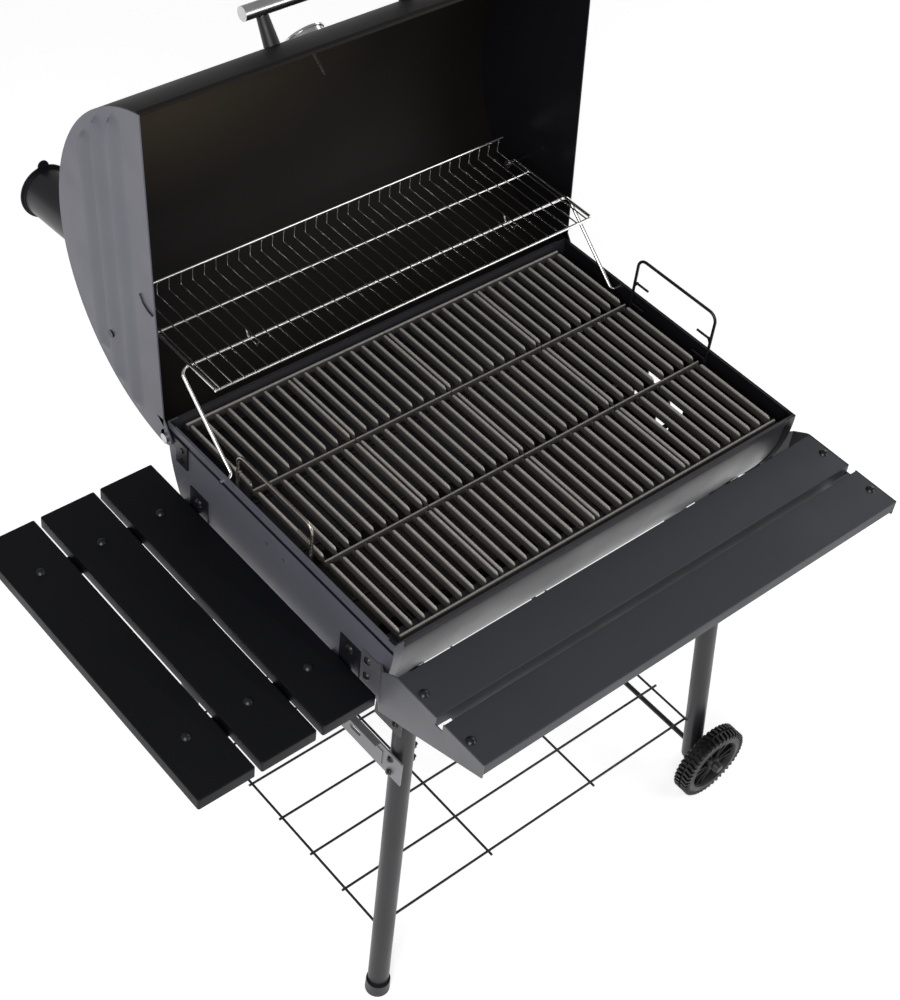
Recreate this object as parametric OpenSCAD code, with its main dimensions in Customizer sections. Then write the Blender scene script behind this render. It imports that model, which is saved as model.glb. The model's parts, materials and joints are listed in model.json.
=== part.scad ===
// Barrel charcoal grill and smoker on a four-leg cart, drawn with its lid open.
// Millimetres, +X to the right, +Y to the rear, +Z up, floor at z = 0.
// Parts are drawn about the middle of the cooking grates and moved to the frame's origin,
// which is the middle of the whole part's footprint, by place().

/* [Cooking area] */
// Height of the top of the cooking grates above the floor
grate_top = 850; // [780:1:900]
// Front to back length of a cooking grate
grate_depth = 502; // [490:1:504]
// Width of one cooking grate
grate_width = 183.6; // [180:0.1:183.9]
// Thickness of a grate casting
grate_thick = 14; // [10:1:18]
// Number of long bars in one grate
grate_bars = 9; // [7:1:9]
// Width of one grate bar
bar_width = 9; // [7:0.5:10]

/* [Tub] */
// Outer radius of the tub's half barrel
tub_radius = 259; // [257:1:262]
// Sheet thickness of the tub and the lid
sheet = 2; // [1.5:0.5:2.5]
// Distance of the tub's middle in front of the grates' middle
tub_forward = 4; // [2:1:5]
// Half the length of the tub over its end caps
tub_half = 393; // [392:1:394]
// Width of the end cap's flange round the barrel
cap_flange = 15; // [8:1:25]
// Height of the rim above the grate tops
rim_rise = 8; // [4:1:12]
// Height of the charcoal grate below the cooking grates
fire_drop = 150; // [130:1:160]

/* [Lid] */
// Outer radius of the lid's shell
lid_radius = 273; // [272:1:276]
// Half the length of the lid over its end panels
lid_half = 400; // [400:1:403]
// Opening angle of the lid in the drawn pose
lid_open = 95; // [95:1:100]
// Height of the straight ribs pressed in the lid's end panels
rib_rise = 2.2; // [1:0.1:3]
// Length of the smokestack above the lid
stack_rise = 133; // [100:1:200]
// Outer radius of the smokestack's tube
stack_radius = 38; // [30:1:40]
// Length of the lid's handle bar
handle_length = 300; // [200:1:360]

/* [Warming rack] */
// Reach of the rack's swinging arms to the rear with the lid open
arm_reach = 128; // [120:1:135]
// Rise of the rack's swinging arms with the lid open
arm_rise = 108; // [100:1:112]
// Half the width of the warming rack
rack_half = 362; // [330:1:364]
// Number of thin cross wires in the rack
rack_wires = 35; // [20:1:40]

/* [Shelves] */
// Height of the front shelf below the grate tops
front_shelf_drop = 20; // [10:1:30]
// Width of one front shelf plank
front_plank = 80; // [70:1:86]
// Height of the side shelf below the grate tops
side_shelf_drop = 100; // [90:1:110]
// Width of one side shelf plank
side_plank = 90; // [80:1:94]
// Length of a side shelf plank
side_plank_length = 540; // [480:1:560]

/* [Legs and wheels] */
// Outer radius of a leg tube
leg_radius = 17.5; // [15:0.5:18]
// Outer radius of a wheel over its tread
wheel_radius = 73; // [70:1:76]
// Width of a wheel
wheel_width = 33; // [28:1:36]
// Radius of the axle rod
axle_radius = 4.75; // [4.5:0.25:5]
// Height of the bottom rack above the floor
bottom_rack_height = 135; // [128:1:160]

/* [Hidden] */
$fn = 48;

// Running clearance on radius for pivots, and sheet-metal assembly gap.
run_gap = 0.05;
fit_gap = 0.2;

// Heights and centres that several parts share.
deck_z = grate_top - grate_thick;
grate_pitch = 184.25;
tub_y = -tub_forward;
tub_z = grate_top + 4;
rim_z = grate_top + rim_rise;
tub_inner = tub_radius - sheet;
cap_inner_x = tub_half - sheet;

// Closed lid: its circle's centre and rim line, then the hinge it turns about.
lid_y = tub_y;
lid_z = grate_top - 50;
lid_rim_z = lid_z + 38.6;
hinge_y = 251;
hinge_z = grate_top - 15;
lid_panel_x = lid_half - sheet;

// Warming rack linkage: a parallelogram with equal arms on the lid and on the tub.
bail_y = 122;
bail_z = grate_top - 4;
bail_x = 375;
bail_wire = 2.75;
bar_y = bail_y + arm_reach;
bar_z = bail_z + arm_rise;
pivot_y = hinge_y + arm_reach;
pivot_z = hinge_z + arm_rise;
rack_z = bar_z + bail_wire + 1.9;

// Shelves.
front_top = grate_top - front_shelf_drop;
front_inner_y = -290;
plank_gap = 14;
front_outer_y = front_inner_y - front_plank - plank_gap;
shelf_front_y = front_outer_y - front_plank;
shelf_half = 405;
side_top = grate_top - side_shelf_drop;
side_start_x = -402;
side_gap = 10;
side_mid_y = 20;
rail_front_y = -157;
rail_rear_y = 198;
plank_depth = 20;
side_low_x = side_start_x - 3 * side_plank - 2 * side_gap;

// Smokestack: its axis in the closed pose, its outlet, and the cap's front tab.
stack_x = -350;
stack_y = 40;
stack_top = lid_z + sqrt(pow(lid_radius, 2) - pow(stack_y - lid_y, 2)) + stack_rise;
cap_lift = 0.3;
cap_pivot_y = stack_y + stack_radius + 4;
cap_tab_y = stack_y - stack_radius - 14;

// Legs: a leg's axis leans outward on its way down.
leg_lean_x = 0.066;
leg_lean_y = 0.0857;
leg_foot_x = 366.5;
leg_foot_y = 283.5;
leg_top_z = 735;
brace_z = 542;
brace_height = 50;
brace_thick = 2.5;
wheel_gap = 8;

// Frame origin: the middle of the part's footprint on the floor.
x_low = side_low_x;
x_high = leg_foot_x - leg_lean_x * wheel_radius + wheel_radius;
y_low = shelf_front_y;
y_high = opened_y(cap_tab_y, stack_top + cap_lift + sheet);

// Points of the closed lid carried to the drawn, open pose, and back.
function opened_y(y, z) = hinge_y + (y - hinge_y) * cos(lid_open) + (z - hinge_z) * sin(lid_open);
function closed_y(y, z) = hinge_y + (y - hinge_y) * cos(lid_open) - (z - hinge_z) * sin(lid_open);
function closed_z(y, z) = hinge_z + (y - hinge_y) * sin(lid_open) + (z - hinge_z) * cos(lid_open);

// Places along the legs, the grates and the rack.
function leg_x(z) = leg_foot_x - leg_lean_x * z;
function leg_y(z) = leg_foot_y - leg_lean_y * z;
function leg_point(sx, sy, z) = [sx * leg_x(z), tub_y + sy * leg_y(z), z];
function rack_wire_x(n) = -rack_half + 8 + n * (2 * rack_half - 16) / (rack_wires - 1);
function grate_x(i) = (i - 1.5) * grate_pitch;

// ---- Helpers ----

// Moves the drawing frame to the footprint's middle.
module place() {
  translate([-(x_low + x_high) / 2, -(y_low + y_high) / 2, 0]) children();
}

// Turns lid parts from the closed pose to the drawn, open pose.
module opened() {
  translate([0, hinge_y, hinge_z]) rotate([-lid_open, 0, 0]) translate([0, -hinge_y, -hinge_z]) children();
}

// Round bar between two points.
module rod(a, b, r) {
  v = b - a;
  translate(a) rotate([0, acos(v[2] / norm(v)), atan2(v[1], v[0])]) cylinder(h = norm(v), r = r);
}

// Bent wire through a list of points; its straight lengths run past each corner by the wire's radius.
module wire(points, r) {
  last = len(points) - 2;
  for (i = [0:last]) {
    run = (points[i + 1] - points[i]) / norm(points[i + 1] - points[i]);
    rod(points[i] - (i > 0 ? r : 0) * run, points[i + 1] + (i < last ? r : 0) * run, r);
  }
}

// Cylinder along X, centred at a point.
module x_cylinder(x, y, z, length, r) {
  translate([x - length / 2, y, z]) rotate([0, 90, 0]) cylinder(h = length, r = r);
}

// Flat plate in the YZ plane: a 2D outline in (y, z), from x to x + thick.
module x_plate(x, thick) {
  translate([x, 0, 0]) rotate([90, 0, 90]) linear_extrude(height = thick) children();
}

// Domed bolt head with its shank, the shank pointing down from the seat at the origin.
module dome_bolt(head_r, shank_r, length) {
  translate([0, 0, -length]) cylinder(h = length, r = shank_r, $fn = 24);
  intersection() {
    translate([0, 0, -head_r * 0.55]) sphere(r = head_r * 1.14, $fn = 32);
    cylinder(h = head_r, r = head_r, $fn = 32);
  }
}

// Hexagon nut along +Z with a bore.
module nut(across, bore_r, h) {
  difference() {
    cylinder(h = h, r = across / 2 / cos(30), $fn = 6);
    translate([0, 0, -1]) cylinder(h = h + 2, r = bore_r, $fn = 24);
  }
}

// ---- Tub ----

// Half-barrel cross-section between two radii, cut at the rim.
module tub_section(outer, inner) {
  difference() {
    translate([tub_y, tub_z]) circle(r = outer, $fn = 180);
    translate([tub_y, tub_z]) circle(r = inner, $fn = 180);
    translate([-400, rim_z]) square([800, 400]);
  }
}

// Full D-shaped cross-section, cut at the rim.
module tub_disc(outer) {
  difference() {
    translate([tub_y, tub_z]) circle(r = outer, $fn = 180);
    translate([-400, rim_z]) square([800, 400]);
  }
}

hem_thick = 5;
hem_height = 10;

module tub_shell() {
  color([0.10, 0.10, 0.11])
    place() {
      x_plate(-cap_inner_x, 2 * cap_inner_x) tub_section(tub_radius, tub_inner);
      // The front and rear rims are hemmed outward between the end caps.
      hem = cap_inner_x - cap_flange - 1;
      for (side = [-1, 1])
        translate([-hem, tub_y + side * (tub_inner + 2) - hem_thick / 2, rim_z - hem_height])
          cube([2 * hem, hem_thick, hem_height]);
    }
}

// End cap blank: pressed plate with a flange round the barrel and a hemmed top edge.
module tub_cap(side) {
  x_plate(side > 0 ? cap_inner_x : -tub_half, sheet) tub_disc(tub_radius + sheet);
  x_plate(side > 0 ? cap_inner_x - cap_flange : -cap_inner_x, cap_flange)
    tub_section(tub_radius + sheet, tub_radius + 0.02);
  x_plate(side > 0 ? cap_inner_x - 3 : -cap_inner_x, 3)
    translate([tub_y - tub_inner + 12, rim_z - 12]) square([2 * tub_inner - 24, 12]);
}

// Damper pattern and accessory bolt holes.
damper_y = -8;
damper_z = grate_top - 160;
damper_radius = 66;
damper_pcd = 84;
vent_radius = 16;
vent_angle = 65;
accessory_spacing = 39;
accessory_z = grate_top - 39;
accessory_r = 3.3;

module damper_vents(turn) {
  for (i = [0:3])
    translate([damper_y, damper_z]) rotate(turn + i * 90) translate([damper_pcd / 2, 0]) circle(r = vent_radius);
}

module tub_end_left() {
  color([0.42, 0.42, 0.45])
    place() difference() {
      tub_cap(-1);
      x_cylinder(-tub_half, bail_y, bail_z, 20, bail_wire + run_gap);
      for (side = [-1, 1])
        x_cylinder(-tub_half, tub_y + side * accessory_spacing / 2, accessory_z, 20, accessory_r);
      bracket_bolt_holes(-1);
    }
}

module tub_end_right() {
  color([0.36, 0.36, 0.39])
    place() difference() {
      tub_cap(1);
      x_cylinder(tub_half, bail_y, bail_z, 20, bail_wire + run_gap);
      x_cylinder(tub_half, damper_y, damper_z, 20, 4);
      x_plate(tub_half - 10, 20) damper_vents(vent_angle);
      bracket_bolt_holes(1);
    }
}

// Ledge angle that carries the grates, welded inside the front or rear wall.
ledge_width = 30;
module grate_ledge(side) {
  wall = sqrt(pow(tub_inner, 2) - pow(tub_z - deck_z + 20, 2)) - 0.5;
  place() {
    translate([-380, side > 0 ? tub_y + wall - ledge_width : tub_y - wall, deck_z - sheet])
      cube([760, ledge_width, sheet]);
    translate([-380, side > 0 ? tub_y + wall - sheet : tub_y - wall, deck_z - 20])
      cube([760, sheet, 20]);
  }
}

module grate_ledge_front() {
  color([0.08, 0.08, 0.08]) grate_ledge(-1);
}

module grate_ledge_rear() {
  color([0.08, 0.08, 0.08]) grate_ledge(1);
}

// ---- Hinges ----

pin_radius = 4;
ear_radius = 10;
bracket_thick = 3;

module hinge_bracket(side) {
  place() difference() {
    x_plate(side > 0 ? tub_half : -tub_half - bracket_thick, bracket_thick)
      union() {
        translate([hinge_y, hinge_z]) circle(r = ear_radius);
        translate([210, hinge_z - ear_radius]) square([hinge_y - 210, 2 * ear_radius]);
        translate([204, hinge_z - 34]) square([28, 44]);
      }
    x_cylinder(side * tub_half, hinge_y, hinge_z, 20, pin_radius + run_gap);
    for (z = [hinge_z - 4, hinge_z - 24]) x_cylinder(side * tub_half, 218, z, 20, 2.6);
  }
}

module hinge_bracket_left() {
  color([0.12, 0.12, 0.13]) hinge_bracket(-1);
}

module hinge_bracket_right() {
  color([0.12, 0.12, 0.13]) hinge_bracket(1);
}

// Shouldered pins; the lid's end panels turn on them.
module hinge_pins() {
  color([0.80, 0.80, 0.82])
    place() for (side = [-1, 1]) {
      x_cylinder(side * (tub_half + 5), hinge_y, hinge_z, 9.6, pin_radius);
      x_cylinder(side * (lid_half + 2.2), hinge_y, hinge_z, 4, 7.5);
    }
}

module hinge_rivets() {
  color([0.12, 0.12, 0.13])
    place() for (side = [-1, 1]) for (z = [hinge_z - 4, hinge_z - 24]) {
      x_cylinder(side * (tub_half + 1.6), 218, z, 2.8, 2.5);
      x_cylinder(side * (tub_half + bracket_thick + 0.8), 218, z, 1.6, 4.4);
    }
}

// ---- Air damper on the right end ----

damper_gap = 0.3;
damper_thick = 1.5;

module damper_disc() {
  color([0.12, 0.12, 0.13])
    place() difference() {
      union() {
        x_plate(tub_half + damper_gap, damper_thick) translate([damper_y, damper_z]) circle(r = damper_radius);
        // Folded finger tab at the disc's edge.
        translate([tub_half + damper_gap, damper_y - 6, damper_z + damper_radius - 3]) cube([14, 12, damper_thick]);
      }
      x_plate(tub_half - 10, 20) damper_vents(vent_angle);
      x_cylinder(tub_half, damper_y, damper_z, 20, 4 + run_gap);
    }
}

module damper_rivet() {
  color([0.65, 0.65, 0.67])
    place() {
      x_cylinder(tub_half + 0.3, damper_y, damper_z, 6.6, 3.98);
      x_cylinder(tub_half + 4.1, damper_y, damper_z, 2.4, 8);
      x_cylinder(cap_inner_x - 1.2, damper_y, damper_z, 1.8, 8);
    }
}

// ---- Inside the tub ----

pan_half_x = 300;
pan_half_y = 84;
pan_height = 32;
pan_sheet = 1.5;

module ash_pan() {
  color([0.20, 0.19, 0.18])
    place() {
      // The pan's lower edges rest on the barrel.
      floor_z = tub_z - sqrt(pow(tub_inner, 2) - pow(pan_half_y, 2)) + 0.05;
      difference() {
        translate([-pan_half_x, tub_y - pan_half_y, floor_z]) cube([2 * pan_half_x, 2 * pan_half_y, pan_height]);
        translate([-pan_half_x + pan_sheet, tub_y - pan_half_y + pan_sheet, floor_z + pan_sheet])
          cube([2 * (pan_half_x - pan_sheet), 2 * (pan_half_y - pan_sheet), pan_height]);
      }
    }
}

// ---- Cooking grates ----

cross_y = 83;
cross_width = 10;
bar_pitch = (grate_width - bar_width) / (grate_bars - 1);

// Round-topped bar section, standing on z = 0.
module bar_section(w, h) {
  translate([0, h - w / 2]) circle(d = w, $fn = 24);
  translate([-w / 2, 0]) square([w, h - w / 2]);
}

// One length of bar along Y.
module grate_bar(x, from, to, w, h) {
  translate([x, to, deck_z]) rotate([90, 0, 0]) linear_extrude(height = to - from) bar_section(w, h);
}

module cooking_grate(i) {
  half = grate_depth / 2;
  gap = cross_width / 2 + 3;
  place() translate([grate_x(i), 0, 0]) {
    for (n = [0:grate_bars - 1]) {
      x = -grate_width / 2 + bar_width / 2 + n * bar_pitch;
      for (span = [[-half + 8, -cross_y - gap], [-cross_y + gap, cross_y - gap], [cross_y + gap, half - 8]])
        grate_bar(x, span[0], span[1], bar_width, grate_thick);
      translate([x - bar_width / 2 + 1, -half + 4, deck_z]) cube([bar_width - 2, grate_depth - 8, grate_thick - 6]);
    }
    for (y = [-cross_y, cross_y])
      translate([-grate_width / 2 + 0.5, y, deck_z]) rotate([90, 0, 90])
        linear_extrude(height = grate_width - 1) bar_section(cross_width, grate_thick - 1.5);
    for (y = [-half + 5, half - 5])
      translate([-grate_width / 2, y, deck_z]) rotate([90, 0, 90])
        linear_extrude(height = grate_width) bar_section(10, grate_thick - 0.5);
  }
}

module cooking_grate_1() {
  color([0.27, 0.25, 0.24]) cooking_grate(0);
}

module cooking_grate_2() {
  color([0.27, 0.25, 0.24]) cooking_grate(1);
}

module cooking_grate_3() {
  color([0.27, 0.25, 0.24]) cooking_grate(2);
}

module cooking_grate_4() {
  color([0.27, 0.25, 0.24]) cooking_grate(3);
}

// ---- Fire grate and its lifters ----

fire_z = grate_top - fire_drop;
lifter_x = 384;
lifter_wire = 2.5;
lifter_half = 85;
lifter_corner = 15;
fire_half_x = 372;
fire_half_y = 180;
lug_top = 4;
peg_in = 20;
peg_radius = 3;
prong_radius = 2;
prong_low = grate_top - 8;
prong_high = grate_top + 34;

// The left lifter stands a little further back than the right one.
function lifter_shift(side) = side < 0 ? 12 : 0;

module charcoal_grate() {
  color([0.16, 0.15, 0.15])
    place() {
      for (y = [-fire_half_y, fire_half_y]) rod([-fire_half_x, tub_y + y, fire_z], [fire_half_x, tub_y + y, fire_z], 4);
      for (y = [-60, 60]) rod([-fire_half_x, tub_y + y, fire_z], [fire_half_x, tub_y + y, fire_z], 4);
      for (n = [0:24]) {
        x = -fire_half_x + n * 2 * fire_half_x / 24;
        rod([x, tub_y - fire_half_y, fire_z + 3], [x, tub_y + fire_half_y, fire_z + 3], 3);
      }
      // Drilled lugs at both ends; the lifters' legs pass through them.
      for (side = [-1, 1]) for (s = [-1, 1])
        translate([side * lifter_x, lifter_shift(side) + s * lifter_half, fire_z]) difference() {
          translate([-side * (lifter_x - fire_half_x) / 2, 0, lug_top / 2])
            cube([lifter_x - fire_half_x + 10, 16, lug_top], center = true);
          translate([0, 0, -10]) cylinder(h = 30, r = lifter_wire + 0.1);
        }
    }
}

// Wire bail with two pairs of prongs and headed feet under the fire grate's lugs.
module fire_lifter(side, top) {
  inner = lifter_half - lifter_corner;
  high = grate_top + top - lifter_wire;
  place() translate([side * lifter_x, lifter_shift(side), 0]) {
    for (s = [-1, 1]) {
      rod([0, s * lifter_half, fire_z - 1], [0, s * lifter_half, high - lifter_corner], lifter_wire);
      translate([0, s * lifter_half, fire_z - 2]) cylinder(h = 2, r = 4);
      translate([0, s * inner, high - lifter_corner]) rotate([90, 0, 90])
        rotate(s > 0 ? 0 : 90) rotate_extrude(angle = 90) translate([lifter_corner, 0]) circle(r = lifter_wire, $fn = 24);
      for (z = [prong_high, prong_low])
        wire([[0, s * lifter_half, z - 8], [0, s * (lifter_half - 5), z], [0, s * (lifter_half - 30), z]], prong_radius);
    }
    rod([0, -inner, high], [0, inner, high], lifter_wire);
  }
}

module fire_lifter_left() {
  color([0.45, 0.44, 0.43]) fire_lifter(-1, 68);
}

module fire_lifter_right() {
  color([0.10, 0.10, 0.11]) fire_lifter(1, 84);
}

// Pegs on the tub's ends that carry the lifters' lower prongs.
module lifter_pegs() {
  color([0.10, 0.10, 0.10])
    place() for (side = [-1, 1]) for (s = [-1, 1])
      x_cylinder(side * (cap_inner_x + lifter_x - 2) / 2, lifter_shift(side) + s * (lifter_half - peg_in),
                 prong_low - prong_radius - peg_radius, cap_inner_x - lifter_x + 2, peg_radius);
}

// ---- Lid ----

rear_rim_z = grate_top;

// Lid cross-section in the closed pose.
module lid_segment(r) {
  difference() {
    translate([lid_y, lid_z]) circle(r = r, $fn = 180);
    translate([-400, lid_z - 400]) square([800, lid_rim_z - lid_z + 400]);
  }
}

module lid_shell() {
  color([0.11, 0.105, 0.10])
    place() opened() difference() {
      union() {
        x_plate(-lid_panel_x, 2 * lid_panel_x) difference() {
          lid_segment(lid_radius);
          translate([lid_y, lid_z]) circle(r = lid_radius - sheet, $fn = 180);
          translate([lid_y, lid_z - 400]) square([400, rear_rim_z - lid_z + 400]);
        }
        // Hemmed front rim.
        translate([-lid_panel_x, lid_y - 271.5, lid_rim_z]) cube([2 * lid_panel_x, 4.5, 8]);
      }
      translate([stack_x, stack_y, lid_z + 100]) cylinder(h = 300, r = stack_radius - sheet);
      handle_holes();
      gauge_hole();
    }
}

// Ribs pressed outward in an end panel, parallel to the rim, each with ends curving to the rim.
rib_heights = [75, 116, 157];
rib_halves = [226, 196, 148];
rib_width = 26;
rib_bend = 22;

module lid_ribs() {
  for (i = [0:2])
    translate([lid_y, lid_rim_z + rib_heights[i]]) {
      translate([-rib_halves[i] + rib_bend, -rib_width / 2]) square([2 * (rib_halves[i] - rib_bend), rib_width]);
      for (s = [-1, 1]) translate([s * (rib_halves[i] - rib_bend), 0]) circle(d = rib_width);
    }
}

module lid_end(side) {
  place() opened() difference() {
    union() {
      x_plate(side > 0 ? lid_panel_x : -lid_half, sheet) union() {
        lid_segment(lid_radius);
        translate([hinge_y, hinge_z]) circle(r = 13);
        translate([hinge_y - 26, hinge_z - 1]) square([30, 24]);
      }
      x_plate(side > 0 ? lid_half : -lid_half - rib_rise, rib_rise) intersection() {
        lid_ribs();
        lid_segment(lid_radius - 6);
      }
      // Narrow lip turned in along the rim, clear of the tub's end cap.
      translate([side > 0 ? lid_panel_x - 3 : -lid_panel_x, lid_y - 250, lid_rim_z + 1]) cube([3, 440, sheet]);
    }
    x_cylinder(side * lid_half, hinge_y, hinge_z, 20, pin_radius + run_gap);
    x_cylinder(side * lid_half, closed_y(pivot_y, pivot_z), closed_z(pivot_y, pivot_z), 40, 3);
  }
}

module lid_end_left() {
  color([0.44, 0.44, 0.47]) lid_end(-1);
}

module lid_end_right() {
  color([0.12, 0.12, 0.13]) lid_end(1);
}

// Handle bar on two standoffs near the lid's front rim.
handle_angle = 150;
handle_stand = 42;
handle_span = handle_length - 60;

// Frame whose +Z leaves the closed lid's surface at an angle round its circle.
module on_lid(x, angle) {
  translate([x, lid_y, lid_z]) rotate([angle - 90, 0, 0]) translate([0, 0, lid_radius]) children();
}

module handle_holes() {
  for (x = [-handle_span / 2, handle_span / 2])
    on_lid(x, handle_angle) translate([0, 0, -20]) cylinder(h = 40, r = 3.1, $fn = 24);
}

module lid_handle() {
  color([0.75, 0.75, 0.77])
    place() opened() on_lid(0, handle_angle) difference() {
      translate([-handle_length / 2, 0, handle_stand + 11]) rotate([0, 90, 0]) cylinder(h = handle_length, r = 11);
      for (x = [-handle_span / 2, handle_span / 2]) translate([x, 0, 0]) cylinder(h = handle_stand + 12, r = 3.1, $fn = 24);
    }
}

module handle_standoffs() {
  color([0.10, 0.10, 0.10])
    place() opened() for (x = [-handle_span / 2, handle_span / 2])
      on_lid(x, handle_angle) difference() {
        translate([0, 0, 0.3]) cylinder(h = handle_stand - 0.3, r1 = 12, r2 = 9);
        translate([0, 0, -1]) cylinder(h = handle_stand + 2, r = 3.1, $fn = 24);
        translate([0, 0, handle_stand + 11]) rotate([0, 90, 0]) cylinder(h = 60, r = 11.1, center = true);
      }
}

module handle_screws() {
  color([0.60, 0.60, 0.62])
    place() opened() for (x = [-handle_span / 2, handle_span / 2])
      on_lid(x, handle_angle) {
        translate([0, 0, -sheet]) cylinder(h = handle_stand + 13, r = 3, $fn = 24);
        translate([0, 0, -sheet - 4]) cylinder(h = 3.7, r = 6, $fn = 24);
      }
}

gauge_angle = 128;

module gauge_hole() {
  on_lid(0, gauge_angle) translate([0, 0, -20]) cylinder(h = 40, r = 8);
}

// Round dial gauge with a stem and a nut inside the lid.
module heat_gauge() {
  color([0.75, 0.75, 0.76])
    place() opened() on_lid(0, gauge_angle) {
      translate([0, 0, 0.2]) cylinder(h = 12, r = 32);
      translate([0, 0, 12]) difference() {
        cylinder(h = 3, r = 34);
        translate([0, 0, 1]) cylinder(h = 3, r = 30);
      }
      translate([0, 0, -14]) cylinder(h = 15, r = 7.8);
      translate([0, 0, -10]) nut(22, 7.5, 5);
      translate([0, 0, -52]) cylinder(h = 40, r = 3, $fn = 24);
    }
}

// ---- Smokestack ----

module smokestack() {
  color([0.13, 0.13, 0.14])
    place() opened() translate([stack_x, stack_y, 0]) difference() {
      union() {
        intersection() {
          translate([0, 0, lid_z + 200]) cylinder(h = stack_top - lid_z - 200, r = stack_radius);
          translate([-100, lid_y - stack_y, lid_z]) rotate([0, 90, 0])
            difference() {
              cylinder(h = 200, r = 500);
              translate([0, 0, -1]) cylinder(h = 202, r = lid_radius + 0.05, $fn = 180);
            }
        }
        // Saddle flange that follows the lid.
        intersection() {
          translate([0, 0, lid_z + 200]) cylinder(h = 100, r = stack_radius + 9);
          translate([-100, lid_y - stack_y, lid_z]) rotate([0, 90, 0])
            difference() {
              cylinder(h = 200, r = lid_radius + 2);
              translate([0, 0, -1]) cylinder(h = 202, r = lid_radius + 0.05, $fn = 180);
            }
        }
        // Rolled lip at the outlet.
        translate([0, 0, stack_top - 4]) cylinder(h = 4, r = stack_radius + 1.5);
        // Boss for the cap's pivot.
        translate([0, stack_radius + 4, stack_top - 12]) cylinder(h = 12, r = 7);
        translate([-5, stack_radius - 2, stack_top - 12]) cube([10, 8, 12]);
      }
      translate([0, 0, lid_z + 100]) cylinder(h = 400, r = stack_radius - sheet);
      translate([0, stack_radius + 4, stack_top - 20]) cylinder(h = 40, r = 3, $fn = 24);
    }
}

// Flat cap that swivels about a rivet at the rear of the outlet.
module stack_cap() {
  color([0.10, 0.10, 0.11])
    place() opened() translate([stack_x, 0, stack_top + cap_lift]) difference() {
      union() {
        translate([0, cap_pivot_y, 0]) cylinder(h = sheet, r = 9);
        translate([0, stack_y, 0]) cylinder(h = sheet, r = stack_radius + 5);
        translate([0, cap_tab_y + 9, 0]) cylinder(h = sheet, r = 9);
      }
      translate([0, cap_pivot_y, -1]) cylinder(h = 10, r = 3 + run_gap);
    }
}

module stack_cap_rivet() {
  color([0.55, 0.55, 0.57])
    place() opened() translate([stack_x, cap_pivot_y, stack_top]) {
      translate([0, 0, -12]) cylinder(h = 14.6, r = 2.98);
      translate([0, 0, 2.5]) cylinder(h = 1.8, r = 6);
    }
}

// ---- Warming rack ----

rack_front = bar_y - 66;
rack_rear = pivot_y + 22;
rack_back_z = rack_z + 24;
rack_thin = 1.25;
rack_thick = 2.5;
eye_x = 366;

module warming_rack() {
  color([0.82, 0.82, 0.84])
    place() {
      under = rack_z - rack_thin;
      // The side wires pass over the swinging bar with the same clearance as the thin wires.
      side_z = under + rack_thick;
      rod([-rack_half, rack_front, under - 1], [rack_half, rack_front, under - 1], rack_thick);
      rod([-rack_half, bar_y + 82, under - 1], [rack_half, bar_y + 82, under - 1], rack_thick);
      rod([-rack_half, rack_rear, rack_back_z], [rack_half, rack_rear, rack_back_z], rack_thick);
      for (n = [0:rack_wires - 1]) {
        x = rack_wire_x(n);
        rod([x, rack_front - 2, rack_z], [x, rack_rear, rack_z], rack_thin);
        rod([x, rack_rear - 0.5, rack_z - 1], [x, rack_rear - 0.5, rack_back_z + 1], rack_thin - 0.1);
      }
      // Two keepers that stop the swinging bar leaving the rack.
      for (x = [rack_wire_x(5), rack_wire_x(rack_wires - 6)])
        wire([
          [x, bar_y - 16, rack_z],
          [x, bar_y - 10, bar_z - bail_wire - 4],
          [x, bar_y + 10, bar_z - bail_wire - 4],
          [x, bar_y + 16, rack_z]
        ], 1.5);
      // Side wires that drop to the eyes on the lid's pivots.
      for (s = [-1, 1]) {
        rod([s * rack_half, rack_front, side_z], [s * rack_half, pivot_y - 12, side_z], rack_thick);
        rod([s * rack_half, pivot_y - 15, side_z + 0.5], [s * rack_half, pivot_y, pivot_z + 5.5], rack_thick - 0.3);
        x_eye(s * rack_half);
      }
    }
}

// Round eye that turns on a pivot pin.
module x_eye(x) {
  difference() {
    x_cylinder(x, pivot_y, pivot_z, 5, 6.5);
    x_cylinder(x, pivot_y, pivot_z, 8, 3 + run_gap);
  }
}

// Quarter bend of wire in the XZ plane, from +X round to +Z about its own centre.
module bend(x, z, corner, turn, r) {
  translate([x, 0, z]) rotate([90, 0, 0]) rotate(turn) rotate_extrude(angle = 90)
    translate([corner, 0]) circle(r = r, $fn = 24);
}

// U-shaped swinging bar hooked in the tub's ends, drawn upright and laid back to its slope.
module rack_bail() {
  length = norm([arm_reach, arm_rise]);
  corner = 12;
  foot = 8;
  color([0.85, 0.85, 0.87])
    place() translate([0, bail_y, bail_z]) rotate([-atan2(arm_reach, arm_rise), 0, 0]) {
      for (s = [0, 1]) mirror([s, 0, 0]) {
        rod([bail_x + foot, 0, 0], [tub_half + 3.5, 0, 0], bail_wire);
        bend(bail_x + foot, foot, foot, 180, bail_wire);
        rod([bail_x, 0, foot], [bail_x, 0, length - corner], bail_wire);
        bend(bail_x - corner, length - corner, corner, 0, bail_wire);
      }
      rod([-bail_x + corner, 0, length], [bail_x - corner, 0, length], bail_wire);
    }
}

module rack_pivot_pins() {
  color([0.08, 0.08, 0.09])
    place() for (s = [-1, 1]) {
      x_cylinder(s * (lid_half + rack_half - 8) / 2, pivot_y, pivot_z, lid_half - rack_half + 12, 2.98);
      x_cylinder(s * (lid_half + rib_rise + 2.6), pivot_y, pivot_z, 4.8, 6);
      x_cylinder(s * (lid_panel_x - 2.5), pivot_y, pivot_z, 4.4, 6);
    }
}

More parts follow.
